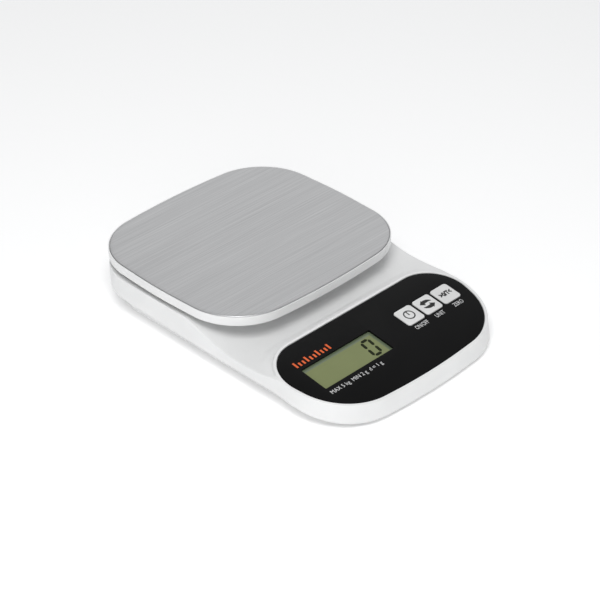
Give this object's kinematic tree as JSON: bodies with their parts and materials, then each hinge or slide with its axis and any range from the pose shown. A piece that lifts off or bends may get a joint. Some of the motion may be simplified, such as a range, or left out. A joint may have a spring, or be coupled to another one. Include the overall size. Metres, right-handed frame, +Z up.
{
  "type": "electronic kitchen scale",
  "caption": "Flat electronic scale with a stainless platter over a bar load cell and a tilted front console with a display and press keys.",
  "frame": {"origin": "middle of the footprint's bounding box, on the surface the feet rest on", "axes": "+Z up, +Y towards the platter end (the back), -Y towards the console (the front), +X to the right seen from the front"},
  "size_m": [0.1516, 0.217, 0.036],
  "materials": {
    "white_plastic": "white moulded ABS, fine satin",
    "steel_sheet": "stainless sheet, fine brushing across the platter",
    "adhesive_pad": "double-sided foam adhesive",
    "screw_steel": "zinc-plated steel",
    "load_cell_alloy": "milled aluminium alloy",
    "silicone": "white silicone potting",
    "foot_rubber": "dark grey moulded rubber, matt",
    "panel_black": "black satin panel",
    "key_grey": "light grey, fine speckled texture",
    "display": "reflective liquid crystal display, olive green",
    "switch_black": "black moulded plastic",
    "plunger_plastic": "natural nylon",
    "contact_rubber": "layered conductive silicone",
    "circuit_board": "glass-epoxy board with green solder mask",
    "chip_resin": "black epoxy dome",
    "battery_can": "printed steel can, plain",
    "spring_contact": "nickel-plated spring steel",
    "lead_red": "red wire insulation",
    "lead_black": "black wire insulation",
    "cable_grey": "pale grey cable sheath"
  },
  "bodies": {
    "base": {"load_cell": "load_cell_alloy", "gauge_potting_lower": "silicone", "lower_spacer": "screw_steel", "lower_cell_screw_1": "screw_steel", "lower_cell_screw_2": "screw_steel", "overload_stop": "screw_steel", "upper_housing": "white_plastic", "bottom_cover": "white_plastic", "housing_screw_1": "screw_steel", "housing_screw_2": "screw_steel", "housing_screw_3": "screw_steel", "housing_screw_4": "screw_steel", "housing_screw_5": "screw_steel", "foot_1": "foot_rubber", "foot_2": "foot_rubber", "foot_3": "foot_rubber", "foot_4": "foot_rubber", "battery_1": "battery_can", "battery_2": "battery_can", "contact_bridge": "spring_contact", "contact_positive": "spring_contact", "contact_negative": "spring_contact", "console_panel": "panel_black", "switch_power": "switch_black", "switch_unit": "switch_black", "switch_zero": "switch_black", "display_glass": "display", "display_frame": "white_plastic", "zebra_strip_front": "contact_rubber", "zebra_strip_back": "contact_rubber", "main_board": "circuit_board", "chip_blob": "chip_resin", "board_screw_1": "screw_steel", "board_screw_2": "screw_steel", "board_screw_3": "screw_steel", "board_screw_4": "screw_steel", "battery_lead_red": "lead_red", "battery_lead_black": "lead_black", "cell_cable": "cable_grey"},
    "platter": {"platter_sheet": "steel_sheet", "platter_pad": "adhesive_pad", "platter_tray": "white_plastic", "platter_screw_1": "screw_steel", "platter_screw_2": "screw_steel", "platter_screw_3": "screw_steel", "platter_screw_4": "screw_steel", "platter_spider": "screw_steel", "upper_spacer": "screw_steel", "upper_cell_screw_1": "screw_steel", "upper_cell_screw_2": "screw_steel", "gauge_potting_upper": "silicone"},
    "battery_door": {"battery_door": "white_plastic"},
    "key_power": {"key_power": "key_grey", "plunger_power": "plunger_plastic"},
    "key_unit": {"key_unit": "key_grey", "plunger_unit": "plunger_plastic"},
    "key_zero": {"key_zero": "key_grey", "plunger_zero": "plunger_plastic"}
  },
  "joints": [
    {"name": "platter_press", "type": "slide", "parent": "base", "child": "platter", "axis": [0, 0, -1], "range_m": [0, 0.0005], "stiffness_N_per_m": 100000, "deforming": ["load_cell"]},
    {"name": "power_press", "type": "slide", "parent": "base", "child": "key_power", "axis": [0, 0.1331, -0.9911], "range_m": [0, 0.0004], "stiffness_N_per_m": 4000},
    {"name": "unit_press", "type": "slide", "parent": "base", "child": "key_unit", "axis": [0, 0.1331, -0.9911], "range_m": [0, 0.0004], "stiffness_N_per_m": 4000},
    {"name": "zero_press", "type": "slide", "parent": "base", "child": "key_zero", "axis": [0, 0.1331, -0.9911], "range_m": [0, 0.0004], "stiffness_N_per_m": 4000},
    {"name": "battery_door_hinge", "type": "hinge", "parent": "base", "child": "battery_door", "pos_m": [0, 0.0884, 0.0028], "axis": [1, 0, 0], "range_deg": [0, 95]}
  ]
}
